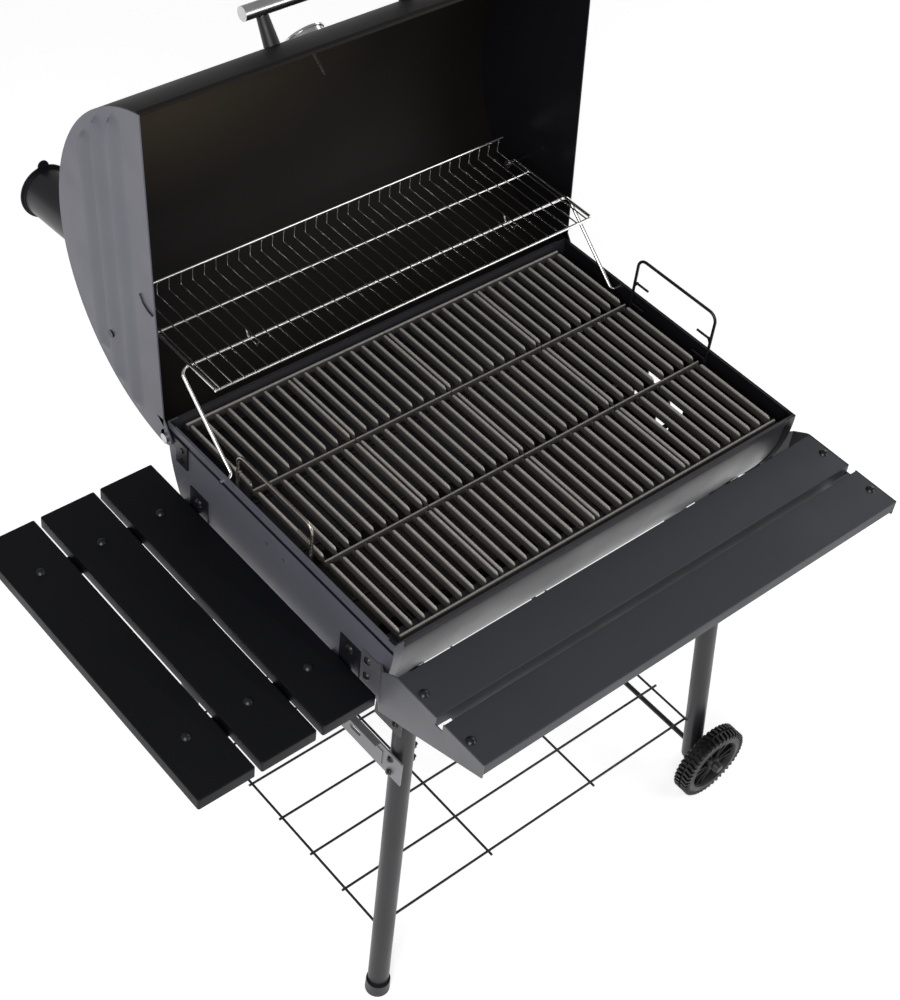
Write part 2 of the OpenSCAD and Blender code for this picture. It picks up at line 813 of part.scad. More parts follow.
// Bent wire hook on the outside of the left end panel.
module rack_hook_wire() {
  color([0.06, 0.06, 0.07])
    place() {
      x = -lid_half - 1.4;
      wire([
        [x, 308, grate_top + 214],
        [x, 300, grate_top + 203],
        [x, 288, grate_top + 197],
        [x, 277, grate_top + 195]
      ], 1.2);
    }
}

// ---- Legs, braces and bottom rack ----

rack_wire = 2.2;
rack_pitch_y = 85;
bottom_half_x = 352;
bottom_mid_y = tub_y;
bottom_wire_end = 8;
axle_z = wheel_radius;

module leg_tube(sx, sy, from, to) {
  difference() {
    rod(leg_point(sx, sy, from), leg_point(sx, sy, to), leg_radius);
    rod(leg_point(sx, sy, from - 20), leg_point(sx, sy, to + 20), leg_radius - 1.5);
    // The tube's top is cut to the barrel.
    x_cylinder(0, tub_y, tub_z, 900, tub_radius + 0.4);
    // Sockets for the bottom rack's outer wires.
    rod([-400, bottom_mid_y + sy * 3 * rack_pitch_y, bottom_rack_height],
        [400, bottom_mid_y + sy * 3 * rack_pitch_y, bottom_rack_height], rack_wire + fit_gap);
    rod([sx * bottom_half_x, bottom_mid_y, bottom_rack_height - 4],
        [sx * bottom_half_x, bottom_mid_y + sy * (3 * rack_pitch_y + bottom_wire_end + 1), bottom_rack_height - 4],
        rack_wire + fit_gap);
    for (z = brace_bolt_heights) leg_bolt_hole(sx, sy, z);
    leg_bolt_hole(sx, sy, saddle_bolt_z);
    if (sx > 0) rod([leg_x(axle_z), -400, axle_z], [leg_x(axle_z), 400, axle_z], axle_radius + fit_gap);
    translate([-500, -500, -50]) cube([1000, 1000, 50]);
  }
}

brace_bolt_heights = [brace_z - 13, brace_z + 13];
saddle_bolt_z = 625;
leg_cap_rise = 6;

module leg_bolt_hole(sx, sy, z) {
  p = leg_point(sx, sy, z);
  x_cylinder(p[0], p[1], z, 80, 3.2);
}

module front_leg_left() {
  color([0.30, 0.30, 0.32]) place() leg_tube(-1, -1, leg_cap_rise, leg_top_z);
}

module front_leg_right() {
  color([0.30, 0.30, 0.32]) place() leg_tube(1, -1, axle_z - 22, leg_top_z);
}

module rear_leg_left() {
  color([0.30, 0.30, 0.32]) place() leg_tube(-1, 1, leg_cap_rise, leg_top_z);
}

module rear_leg_right() {
  color([0.30, 0.30, 0.32]) place() leg_tube(1, 1, axle_z - 22, leg_top_z);
}

// Folded saddles, each bolted through a leg and riveted under the barrel.
saddle_thick = 2.5;
saddle_back = 44;

module leg_saddles() {
  color([0.12, 0.12, 0.13])
    place() for (sx = [-1, 1]) for (sy = [-1, 1]) {
      p = leg_point(sx, sy, saddle_bolt_z);
      inner = leg_radius + 0.4;
      difference() {
        translate(p) rotate([0, -sx * atan(leg_lean_x), 0]) scale([1, sy, 1]) translate([0, 0, -16]) {
          for (s = [-1, 1])
            translate([s * (inner + saddle_thick / 2) - saddle_thick / 2, -saddle_back, 0])
              cube([saddle_thick, saddle_back + 14, 90]);
          translate([-inner - saddle_thick, -saddle_back, 0])
            cube([2 * (inner + saddle_thick), saddle_thick, 90]);
        }
        x_cylinder(0, tub_y, tub_z, 900, tub_radius + 0.2);
        leg_bolt_hole(sx, sy, saddle_bolt_z);
      }
    }
}

// End caps of the four leg tubes.
module leg_caps() {
  color([0.05, 0.05, 0.05])
    place() {
      for (sy = [-1, 1]) difference() {
        translate([-leg_x(0), tub_y + sy * leg_y(0), 0]) cylinder(h = 26, r1 = leg_radius + 3, r2 = leg_radius + 2.4);
        rod(leg_point(-1, sy, leg_cap_rise - 0.2), leg_point(-1, sy, 60), leg_radius + 0.1);
      }
    }
}

// Pressed brace between a front and a rear leg.
module side_brace(s) {
  back = s * (leg_x(brace_z) + leg_radius + 1.2);
  x = s > 0 ? back : back - brace_thick;
  span = leg_y(brace_z) + 24;
  panel_y = leg_y(brace_z) - 80;
  place() difference() {
    union() {
      translate([x, tub_y - span, brace_z - brace_height / 2]) cube([brace_thick, 2 * span, brace_height]);
      translate([s > 0 ? x : x - 12 + brace_thick, tub_y - span + 50, brace_z + brace_height / 2 - 2])
        cube([12, 2 * span - 100, 2]);
      for (side = [-1, 1])
        translate([s > 0 ? x + brace_thick : x - 1.5, tub_y + side * panel_y - 62, brace_z - 16]) cube([1.5, 124, 30]);
    }
    for (side = [-1, 1]) {
      x_plate(x - 10, 20) {
        translate([tub_y + side * panel_y - 8, brace_z - 5]) square([16, 9]);
        for (e = [-8, 8]) translate([tub_y + side * panel_y + e, brace_z - 0.5]) circle(r = 4.5);
      }
      for (z = brace_bolt_heights) leg_bolt_hole(s, side, z);
    }
  }
}

module side_brace_left() {
  color([0.38, 0.38, 0.40]) side_brace(-1);
}

module side_brace_right() {
  color([0.38, 0.38, 0.40]) side_brace(1);
}

// Through bolts of the legs, with their nuts.
module leg_bolts() {
  color([0.05, 0.05, 0.06])
    place() for (sx = [-1, 1]) for (sy = [-1, 1]) {
      for (z = [brace_bolt_heights[0], brace_bolt_heights[1], saddle_bolt_z]) {
        p = leg_point(sx, sy, z);
        plain = z == saddle_bolt_z;
        seat = leg_radius + (plain ? saddle_thick + 1.1 : 5.6);
        x_cylinder(p[0], p[1], z, 2 * seat + 8, 2.9);
        translate([p[0] + sx * seat, p[1], z]) rotate([0, sx * 90, 0]) dome_bolt(6, 2.9, 1);
        translate([p[0] - sx * (leg_radius + (plain ? 3.7 : 0.6)), p[1], z]) rotate([0, -sx * 90, 0]) nut(10, 2.8, 5);
      }
    }
}

module bottom_rack() {
  color([0.05, 0.05, 0.05])
    place() {
      for (n = [-3:3]) {
        y = bottom_mid_y + n * rack_pitch_y;
        reach = bottom_half_x + bottom_wire_end;
        rod([-reach, y, bottom_rack_height], [reach, y, bottom_rack_height], rack_wire);
      }
      for (n = [-1.5:1:1.5]) {
        x = n * 2 * bottom_half_x / 3;
        reach = 3 * rack_pitch_y + bottom_wire_end;
        rod([x, bottom_mid_y - reach, bottom_rack_height - 4], [x, bottom_mid_y + reach, bottom_rack_height - 4], rack_wire);
      }
    }
}

// ---- Axle and wheels ----

wheel_inner_y = leg_y(axle_z) + leg_radius + wheel_gap;
wheel_mid = wheel_inner_y + wheel_width / 2;
axle_end = wheel_inner_y + wheel_width + 7;

module axle() {
  color([0.10, 0.10, 0.10])
    place() rod([leg_x(axle_z), tub_y - axle_end, axle_z], [leg_x(axle_z), tub_y + axle_end, axle_z], axle_radius);
}

// Wheel about Z: treaded tyre, six spokes and a hub with a running bore.
module wheel() {
  tread = 40;
  difference() {
    union() {
      for (half = [-1, 1])
        translate([0, 0, half > 0 ? 1 : -wheel_width / 2])
          linear_extrude(height = wheel_width / 2 - 1) union() {
            circle(r = wheel_radius - 4, $fn = 96);
            for (i = [0:tread - 1])
              rotate((i + (half > 0 ? 0.5 : 0)) * 360 / tread) translate([wheel_radius - 6, -2.8]) square([6, 5.6]);
          }
      translate([0, 0, -1]) cylinder(h = 2, r = wheel_radius - 5, $fn = 96);
    }
    // The rim's hollow on both faces.
    for (s = [-1, 1])
      translate([0, 0, s > 0 ? 3 : -wheel_width / 2 - 1]) cylinder(h = wheel_width / 2 - 2, r = wheel_radius - 22, $fn = 72);
    // Windows between the spokes.
    for (i = [0:5]) rotate(i * 60 + 30) translate([0, 0, -20]) linear_extrude(height = 40)
      polygon([[20, -5], [wheel_radius - 27, -15], [wheel_radius - 24, 0], [wheel_radius - 27, 15], [20, 5]]);
    translate([0, 0, -40]) cylinder(h = 80, r = axle_radius + run_gap);
  }
  difference() {
    union() {
      translate([0, 0, -wheel_width / 2]) cylinder(h = wheel_width, r = 14);
      for (i = [0:5]) rotate(i * 60) translate([10, -2, -10]) cube([wheel_radius - 31, 4, 20]);
    }
    translate([0, 0, -40]) cylinder(h = 80, r = axle_radius + run_gap);
  }
}

module wheel_front() {
  color([0.07, 0.07, 0.07])
    place() translate([leg_x(axle_z), tub_y - wheel_mid, axle_z]) rotate([90, 0, 0]) wheel();
}

module wheel_rear() {
  color([0.07, 0.07, 0.07])
    place() translate([leg_x(axle_z), tub_y + wheel_mid, axle_z]) rotate([90, 0, 0]) wheel();
}

module axle_ring(y, h, r, bore) {
  translate([leg_x(axle_z), y + h / 2, axle_z]) rotate([90, 0, 0]) difference() {
    cylinder(h = h, r = r);
    translate([0, 0, -1]) cylinder(h = h + 2, r = bore);
  }
}

module axle_washers() {
  color([0.55, 0.55, 0.56])
    place() for (s = [-1, 1]) {
      axle_ring(tub_y + s * (wheel_inner_y - 2), 1.6, 11, axle_radius + 0.1);
      axle_ring(tub_y + s * (wheel_inner_y + wheel_width + 1.4), 1.6, 10, axle_radius + 0.1);
    }
}

module axle_caps() {
  color([0.10, 0.10, 0.10])
    place() for (s = [-1, 1])
      translate([leg_x(axle_z), tub_y + s * (wheel_inner_y + wheel_width + 2.6), axle_z]) rotate([s * -90, 0, 0])
        difference() {
          cylinder(h = 9, r1 = 10, r2 = 7.5);
          translate([0, 0, -1]) cylinder(h = 5.6, r = axle_radius + 0.02);
        }
}

// ---- Front shelf ----

// Folded sheet plank along X, open below and at its ends.
module front_plank(y) {
  place() difference() {
    translate([-shelf_half + 0.3, y - front_plank, front_top - plank_depth])
      cube([2 * shelf_half - 0.6, front_plank, plank_depth]);
    translate([-shelf_half - 1, y - front_plank + 1.5, front_top - plank_depth - 1])
      cube([2 * shelf_half + 2, front_plank - 3, plank_depth - 0.5]);
    for (s = [-1, 1])
      translate([s * front_bolt_x, y - front_plank / 2, front_top - 10]) cylinder(h = 20, r = 3.2, $fn = 24);
  }
}

front_bolt_x = 394;

module front_shelf_plank_inner() {
  color([0.23, 0.23, 0.24]) front_plank(front_inner_y);
}

module front_shelf_plank_outer() {
  color([0.23, 0.23, 0.24]) front_plank(front_outer_y);
}

bracket_rear_y = -206;
bracket_holes = [[-218, grate_top - 64], [-218, grate_top - 96]];
tab_width = 44;
tab_holes_front = [[-180, grate_top - 76], [-180, grate_top - 118]];
tab_holes_rear = [[176, grate_top - 92], [176, grate_top - 126]];

module bracket_bolt_holes(side) {
  for (p = bracket_holes) x_cylinder(side * tub_half, p[0], p[1], 20, 3.2);
  if (side < 0) for (p = concat(tab_holes_front, tab_holes_rear)) x_cylinder(-tub_half, p[0], p[1], 20, 3.2);
}

// Shelf bracket: a joggled side plate with flanges folded in under the planks.
module front_shelf_bracket(side) {
  near = tub_half + 0.1;
  far = shelf_half;
  t = sheet;
  place() mirror([side > 0 ? 0 : 1, 0, 0]) difference() {
    union() {
      intersection() {
        translate([0, 0, front_top - 120]) linear_extrude(height = 130)
          polygon([
            [near, bracket_rear_y], [near, -246], [far, -262], [far, shelf_front_y],
            [far + t, shelf_front_y], [far + t, -261.5], [near + t, -245.5], [near + t, bracket_rear_y]
          ]);
        x_plate(near - 1, far - near + t + 2) polygon([
          [bracket_rear_y, front_top - 30], [-236, front_top - 30], [-284, front_top - 2], [-290, front_top],
          [shelf_front_y, front_top], [shelf_front_y, front_top - 26], [-334, front_top - 73],
          [-262, front_top - 98], [-232, front_top - 103], [bracket_rear_y, front_top - 92]
        ]);
      }
      for (y = [front_inner_y, front_outer_y])
        translate([far - 24, y - front_plank + 2, front_top - 1.5 - sheet - 0.1])
          cube([24.5, front_plank - 4, sheet]);
    }
    // Notch between the planks, and the bolt holes.
    translate([near, front_outer_y, front_top - 14]) cube([30, plank_gap, 20]);
    for (p = bracket_holes) x_cylinder(near, p[0], p[1], 20, 3.2);
    for (y = [front_inner_y, front_outer_y])
      translate([front_bolt_x, y - front_plank / 2, front_top - 20]) cylinder(h = 40, r = 3.2, $fn = 24);
  }
}

module front_shelf_bracket_left() {
  color([0.50, 0.50, 0.53]) front_shelf_bracket(-1);
}

module front_shelf_bracket_right() {
  color([0.20, 0.20, 0.21]) front_shelf_bracket(1);
}

// ---- Side shelf ----

// Folded sheet plank along Y, open below.
module side_shelf_plank(i) {
  x = side_start_x - (i + 1) * side_plank - i * side_gap;
  place() difference() {
    translate([x, side_mid_y - side_plank_length / 2, side_top - plank_depth])
      cube([side_plank, side_plank_length, plank_depth]);
    translate([x + 1.5, side_mid_y - side_plank_length / 2 + 1.5, side_top - plank_depth - 1])
      cube([side_plank - 3, side_plank_length - 3, plank_depth - 0.5]);
    for (y = [rail_front_y, rail_rear_y])
      translate([x + side_plank / 2, y, side_top - 10]) cylinder(h = 20, r = 3.2, $fn = 24);
  }
}

module side_shelf_plank_inner() {
  color([0.07, 0.07, 0.08]) side_shelf_plank(0);
}

module side_shelf_plank_middle() {
  color([0.07, 0.07, 0.08]) side_shelf_plank(1);
}

module side_shelf_plank_outer() {
  color([0.07, 0.07, 0.08]) side_shelf_plank(2);
}

// Angle rail under the planks, with an end tab bolted to the tub's end cap.
rail_width = 38;
rail_height = 26;
rail_relief = 10;

module side_rail(y, tab_y, top_z, holes) {
  low = side_top - plank_depth - 0.2;
  end_x = -tub_half - 0.1;
  place() difference() {
    union() {
      translate([side_low_x + 12, y - rail_width / 2, low - 2]) cube([end_x - side_low_x - 12, rail_width, 2]);
      translate([side_low_x + 12, y + rail_width / 2 - 2, low - rail_height]) cube([end_x - side_low_x - 12, 2, rail_height]);
      translate([end_x - 2, tab_y - tab_width / 2, low - rail_height]) cube([2, tab_width, top_z - low + rail_height]);
      translate([end_x - 2, min(tab_y - tab_width / 2, y - rail_width / 2), low - rail_height])
        cube([2, abs(y - tab_y) + (rail_width + tab_width) / 2, rail_height]);
    }
    for (p = holes) {
      x_cylinder(end_x, p[0], p[1], 20, 3.2);
      // Room round each bolt's head.
      x_cylinder(end_x - 2 - rail_relief / 2, p[0], p[1], rail_relief, 6.8);
    }
    for (i = [0:2])
      translate([side_start_x - side_plank / 2 - i * (side_plank + side_gap), y, low - 10]) cylinder(h = 20, r = 3.2, $fn = 24);
  }
}

module side_shelf_rail_front() {
  color([0.06, 0.06, 0.07]) side_rail(rail_front_y, -180, grate_top - 62, tab_holes_front);
}

module side_shelf_rail_rear() {
  color([0.06, 0.06, 0.07]) side_rail(rail_rear_y, 176, grate_top - 74, tab_holes_rear);
}

// Domed bolts through the planks.
module plank_bolts() {
  color([0.04, 0.04, 0.05])
    place() {
      for (i = [0:2]) for (y = [rail_front_y, rail_rear_y])
        translate([side_start_x - side_plank / 2 - i * (side_plank + side_gap), y, side_top + 0.1]) {
          dome_bolt(7.5, 3, plank_depth + 8);
          translate([0, 0, -plank_depth - 2.5 - 5]) nut(10, 2.95, 5);
        }
      for (s = [-1, 1]) for (y = [front_inner_y, front_outer_y])
        translate([s * front_bolt_x, y - front_plank / 2, front_top + 0.1]) {
          dome_bolt(7.5, 3, 10);
          translate([0, 0, -9]) nut(10, 2.95, 5);
        }
    }
}

// Domed bolts that fasten both shelves' brackets to the tub's end caps.
module bracket_bolts() {
  color([0.04, 0.04, 0.05])
    place() {
      for (side = [-1, 1]) for (p = bracket_holes) end_bolt(side, p);
      for (p = concat(tab_holes_front, tab_holes_rear)) end_bolt(-1, p);
    }
}

module end_bolt(side, p) {
  translate([side * (tub_half + sheet + 0.2), p[0], p[1]]) rotate([0, side * 90, 0]) {
    dome_bolt(7, 3, 12);
    translate([0, 0, -sheet - sheet - 0.5 - 5]) nut(10, 2.95, 5);
  }
}

tub_shell();
tub_end_left();
tub_end_right();
grate_ledge_front();
grate_ledge_rear();
hinge_bracket_left();
hinge_bracket_right();
hinge_pins();
hinge_rivets();
damper_disc();
damper_rivet();
ash_pan();
cooking_grate_1();
cooking_grate_2();
cooking_grate_3();
cooking_grate_4();
charcoal_grate();
fire_lifter_left();
fire_lifter_right();
lifter_pegs();
lid_shell();
lid_end_left();
lid_end_right();
lid_handle();
handle_standoffs();
handle_screws();
heat_gauge();
smokestack();
stack_cap();
stack_cap_rivet();
warming_rack();
rack_bail();
rack_pivot_pins();
rack_hook_wire();
front_leg_left();
front_leg_right();
rear_leg_left();
rear_leg_right();
leg_saddles();
leg_caps();
side_brace_left();
side_brace_right();
leg_bolts();
bottom_rack();
axle();
wheel_front();
wheel_rear();
axle_washers();
axle_caps();
front_shelf_plank_inner();
front_shelf_plank_outer();
front_shelf_bracket_left();
front_shelf_bracket_right();
side_shelf_plank_inner();
side_shelf_plank_middle();
side_shelf_plank_outer();
side_shelf_rail_front();
side_shelf_rail_rear();
plank_bolts();
bracket_bolts();
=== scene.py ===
"""Barrel charcoal smoker grill on a cart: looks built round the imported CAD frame."""
import json
import math
import bmesh
import bpy
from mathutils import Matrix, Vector


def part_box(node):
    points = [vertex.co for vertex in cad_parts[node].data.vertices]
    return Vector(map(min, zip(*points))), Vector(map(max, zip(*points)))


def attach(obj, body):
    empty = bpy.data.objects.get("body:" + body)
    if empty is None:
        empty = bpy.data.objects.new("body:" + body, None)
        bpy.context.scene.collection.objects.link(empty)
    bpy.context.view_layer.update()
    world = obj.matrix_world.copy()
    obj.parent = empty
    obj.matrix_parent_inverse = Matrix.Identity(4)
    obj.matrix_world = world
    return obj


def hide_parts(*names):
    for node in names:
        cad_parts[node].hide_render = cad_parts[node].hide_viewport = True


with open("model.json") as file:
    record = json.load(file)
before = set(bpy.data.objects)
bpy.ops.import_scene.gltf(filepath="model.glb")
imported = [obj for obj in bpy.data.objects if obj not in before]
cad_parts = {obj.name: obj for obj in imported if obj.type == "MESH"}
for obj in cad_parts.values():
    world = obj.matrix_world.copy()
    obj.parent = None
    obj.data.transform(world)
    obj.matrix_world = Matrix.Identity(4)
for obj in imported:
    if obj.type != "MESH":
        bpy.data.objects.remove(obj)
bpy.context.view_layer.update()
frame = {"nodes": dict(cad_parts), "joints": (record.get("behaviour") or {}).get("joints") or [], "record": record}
cad = frame["nodes"]
joint = {j["name"]: j for j in frame["joints"]}
scene = bpy.context.scene
scene.view_settings.view_transform = "Standard"
scene.view_settings.look = "None"


# ---- Camera, light and floor ----

CAMERA_PLACE = (-1.3455, -1.4719, 2.7106)
CAMERA_TURN_DEG = (44.505, -5.448, -40.205)
CAMERA_LENS_MM = 66.51
FLOOR_HALF = 40.0
FLOOR_DROP = 0.0004


def camera():
    """High three-quarter view of the open grill from its front left."""
    data = bpy.data.cameras.new("camera")
    data.lens = CAMERA_LENS_MM
    data.sensor_width = 36.0
    data.clip_end = 50.0
    cam = bpy.data.objects.new("camera", data)
    cam.location = CAMERA_PLACE
    cam.rotation_euler = [math.radians(turn) for turn in CAMERA_TURN_DEG]
    scene.collection.objects.link(cam)
    scene.camera = cam


def area_light(name, place, aim, size, power):
    """White softbox that faces a point."""
    data = bpy.data.lights.new(name, "AREA")
    data.shape = "RECTANGLE"
    data.size, data.size_y = size
    data.energy = power
    lamp = bpy.data.objects.new(name, data)
    lamp.location = place
    lamp.rotation_euler = (Vector(aim) - Vector(place)).to_track_quat("-Z", "Y").to_euler()
    scene.collection.objects.link(lamp)


def studio():
    """Even surround, three softboxes and a plain white floor."""
    world = bpy.data.worlds.new("studio")
    world.use_nodes = True
    back = world.node_tree.nodes["Background"]
    back.inputs["Color"].default_value = (1.0, 1.0, 1.0, 1.0)
    back.inputs["Strength"].default_value = 0.30
    scene.world = world
    area_light("key_left", (-2.8, -2.0, 3.2), (0, 0, 0.7), (2.4, 2.4), 95)
    area_light("fill_right", (2.6, -3.0, 2.0), (0, 0, 0.5), (2.0, 2.0), 30)
    area_light("rear_box", (3.1, 0.2, 2.3), (0.4, -0.3, 0.8), (1.2, 1.2), 14)

    mesh = bpy.data.meshes.new("floor")
    corners = [(-FLOOR_HALF, -FLOOR_HALF, 0), (FLOOR_HALF, -FLOOR_HALF, 0),
               (FLOOR_HALF, FLOOR_HALF, 0), (-FLOOR_HALF, FLOOR_HALF, 0)]
    mesh.from_pydata(corners, [], [(0, 1, 2, 3)])
    floor = bpy.data.objects.new("floor", mesh)
    floor.location.z = -FLOOR_DROP
    scene.collection.objects.link(floor)
    mat = bpy.data.materials.new("floor_white")
    mat.use_nodes = True
    shader = mat.node_tree.nodes["Principled BSDF"]
    shader.inputs["Base Color"].default_value = (0.93, 0.93, 0.93, 1)
    shader.inputs["Roughness"].default_value = 0.8
    shader.inputs["Specular IOR Level"].default_value = 0.1
    shader.inputs["Emission Color"].default_value = (1.0, 1.0, 1.0, 1)
    shader.inputs["Emission Strength"].default_value = 0.55
    mesh.materials.append(mat)


# ---- Materials ----

class Nodes:
    """Small helper that adds and joins shader nodes in one material."""

    def __init__(self, name):
        self.mat = bpy.data.materials.new(name)
        self.mat.use_nodes = True
        self.tree = self.mat.node_tree
        self.shader = self.tree.nodes["Principled BSDF"]
        self.place = self.tree.nodes.new("ShaderNodeTexCoord").outputs["Object"]

    def join(self, a, b):
        self.tree.links.new(a, b)

    def part_of_place(self, letter):
        """One coordinate, X, Y or Z, of the place on the object."""
        node = self.tree.nodes.new("ShaderNodeSeparateXYZ")
        self.join(self.place, node.inputs[0])
        return node.outputs[letter]

    def stretched(self, scale):
        node = self.tree.nodes.new("ShaderNodeMapping")
        node.inputs["Scale"].default_value = scale
        self.join(self.place, node.inputs["Vector"])
        return node.outputs["Vector"]

    def noise(self, scale, detail=3.0, rough=0.5, vector=None):
        node = self.tree.nodes.new("ShaderNodeTexNoise")
        node.inputs["Scale"].default_value = scale
        node.inputs["Detail"].default_value = detail
        node.inputs["Roughness"].default_value = rough
        self.join(vector or self.place, node.inputs["Vector"])
        return node.outputs["Fac"]

    def spread(self, value, low, high, out_low=0.0, out_high=1.0):
        node = self.tree.nodes.new("ShaderNodeMapRange")
        node.inputs["From Min"].default_value = low
        node.inputs["From Max"].default_value = high
        node.inputs["To Min"].default_value = out_low
        node.inputs["To Max"].default_value = out_high
        self.join(value, node.inputs["Value"])
        return node.outputs["Result"]

    def mix(self, fac, a, b):
        node = self.tree.nodes.new("ShaderNodeMix")
        node.data_type = "RGBA"
        self.join(fac, node.inputs["Factor"])
        sockets = [socket for socket in node.inputs if socket.type == "RGBA"]
        for socket, value in zip(sockets, (a, b)):
            if hasattr(value, "links"):
                self.join(value, socket)
            else:
                socket.default_value = (*value, 1.0)
        return [socket for socket in node.outputs if socket.type == "RGBA"][0]

    def math(self, kind, a, b):
        node = self.tree.nodes.new("ShaderNodeMath")
        node.operation = kind
        for i, value in enumerate((a, b)):
            if hasattr(value, "links"):
                self.join(value, node.inputs[i])
            else:
                node.inputs[i].default_value = value
        return node.outputs[0]

    def bump(self, height, distance, strength):
        node = self.tree.nodes.new("ShaderNodeBump")
        node.inputs["Distance"].default_value = distance
        node.inputs["Strength"].default_value = strength
        self.join(height, node.inputs["Height"])
        self.join(node.outputs["Normal"], self.shader.inputs["Normal"])

    def color(self, value):
        self.join(value, self.shader.inputs["Base Color"])

    def roughness(self, value):
        self.join(value, self.shader.inputs["Roughness"])


def lighter(color, k):
    return tuple(min(1.0, c * k) for c in color)


def powder_coat(name, color, rough, vary=0.18, specular=0.5):
    """Sprayed coating: slight mottling, fine orange-peel bump and patchy gloss."""
    m = Nodes(name)
    broad = m.spread(m.noise(5.0, 3), 0.3, 0.7)
    m.color(m.mix(broad, lighter(color, 1 - vary), lighter(color, 1 + vary)))
    m.roughness(m.spread(m.noise(14.0, 4), 0.3, 0.7, rough - 0.05, rough + 0.07))
    m.shader.inputs["Specular IOR Level"].default_value = specular
    m.bump(m.noise(900.0, 2), 0.00008, 0.35)
    return m.mat


def bare_metal(name, color, rough, vary=0.12):
    """Plated or brushed metal with fine lengthwise streaks and faint dull patches."""
    m = Nodes(name)
    grain = m.noise(1.0, 4, 0.6, m.stretched((4.0, 400.0, 400.0)))
    patch = m.spread(m.noise(22.0, 3), 0.35, 0.7)
    m.color(m.mix(patch, lighter(color, 1 - vary), lighter(color, 1 + vary)))
    m.shader.inputs["Metallic"].default_value = 1.0
    m.roughness(m.spread(grain, 0.3, 0.7, rough * 0.75, rough * 1.35))
    m.bump(grain, 0.00002, 0.4)
    return m.mat


def cast_iron(name, dark, light, rough, crest=None):
    """Seasoned casting: sandy bump, oily patches and, between two heights, a painted highlight on the crests over
    painted shade on the flanks.
    """
    m = Nodes(name)
    patch = m.spread(m.noise(7.0, 3), 0.35, 0.65)
    grit = m.spread(m.noise(420.0, 2), 0.52, 0.7)
    tone = m.mix(grit, m.mix(patch, dark, light), lighter(light, 1.35))
    if crest:
        # Painted light: the bar tops are coloured lighter as a painted highlight and the flanks darker as painted
        # shade, blended by height above the deck.
        above = m.math("SUBTRACT", m.part_of_place("Z"), DECK_Z)
        painted_flank_shade = m.mix(patch, lighter(dark, 0.55), lighter(dark, 0.85))
        painted_crest_highlight = m.mix(grit, (0.36, 0.34, 0.32), (0.52, 0.50, 0.47))
        tone = m.mix(m.spread(above, *crest), painted_flank_shade, painted_crest_highlight)
    m.color(tone)
    m.roughness(m.spread(m.noise(60.0, 4), 0.3, 0.7, rough - 0.12, rough + 0.1))
    m.shader.inputs["Specular IOR Level"].default_value = 0.7
    m.bump(m.noise(700.0, 4, 0.65), 0.0003, 0.55)
    return m.mat


def moulded(name, color, rough):
    """Moulded plastic or rubber with a fine eggshell grain."""
    m = Nodes(name)
    m.color(m.mix(m.spread(m.noise(18.0, 3), 0.3, 0.7), lighter(color, 0.8), lighter(color, 1.25)))
    m.roughness(m.spread(m.noise(40.0, 3), 0.3, 0.7, rough - 0.06, rough + 0.08))
    m.bump(m.noise(1300.0, 3), 0.0001, 0.4)
    return m.mat


def lid_inside(name):
    """Lid sheet: dull dark coating with a painted olive-brown sheen, placed by height and side."""
    m = Nodes(name)
    # Painted sheen: a warm brown patch, in a band of height on the left of the lid's inside, stands in for soft
    # light reflected there.
    high = m.spread(m.part_of_place("Z"), 1.02, 1.18)
    low = m.spread(m.part_of_place("Z"), 1.34, 1.22)
    side = m.spread(m.part_of_place("X"), 0.30, -0.20)
    cloud = m.spread(m.noise(3.0, 2), 0.2, 0.8, 0.7, 1.1)
    painted_sheen = m.math("MULTIPLY", m.math("MULTIPLY", high, low), m.math("MULTIPLY", side, cloud))
    m.color(m.mix(painted_sheen, (0.0085, 0.0070, 0.0062), (0.075, 0.060, 0.042)))
    m.roughness(m.spread(m.noise(9.0, 3), 0.2, 0.8, 0.50, 0.60))
    m.shader.inputs["Specular IOR Level"].default_value = 0.16
    m.bump(m.noise(900.0, 2), 0.00008, 0.35)
    return m.mat


DECK_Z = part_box("cooking_grate_1")[0].z
